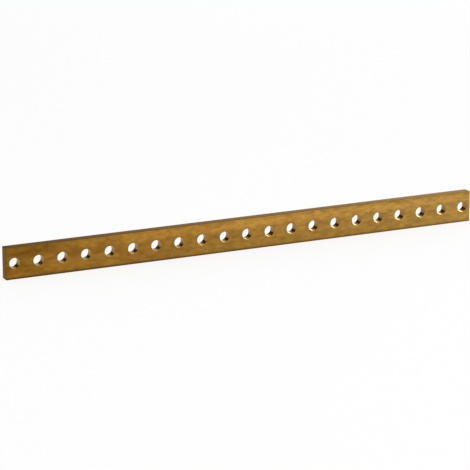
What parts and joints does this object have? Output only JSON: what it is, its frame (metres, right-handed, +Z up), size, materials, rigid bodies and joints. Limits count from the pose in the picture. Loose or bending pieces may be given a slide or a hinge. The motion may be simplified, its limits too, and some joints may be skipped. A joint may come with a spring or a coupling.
{
  "type": "earth terminal bar",
  "caption": "Flat brass bar with a row of round screw holes along its centre line, which joins earth conductors at one potential.",
  "frame": {"origin": "below the middle hole, at mid-thickness, on the lower long edge", "axes": "+X along the bar, +Y from the front face to the back face, +Z up across the bar's width"},
  "size_m": [0.1908, 0.0036, 0.012],
  "materials": {
    "brass": "drawn, satin"
  },
  "bodies": {
    "root": {"terminal_bar": "brass"}
  },
  "joints": []
}
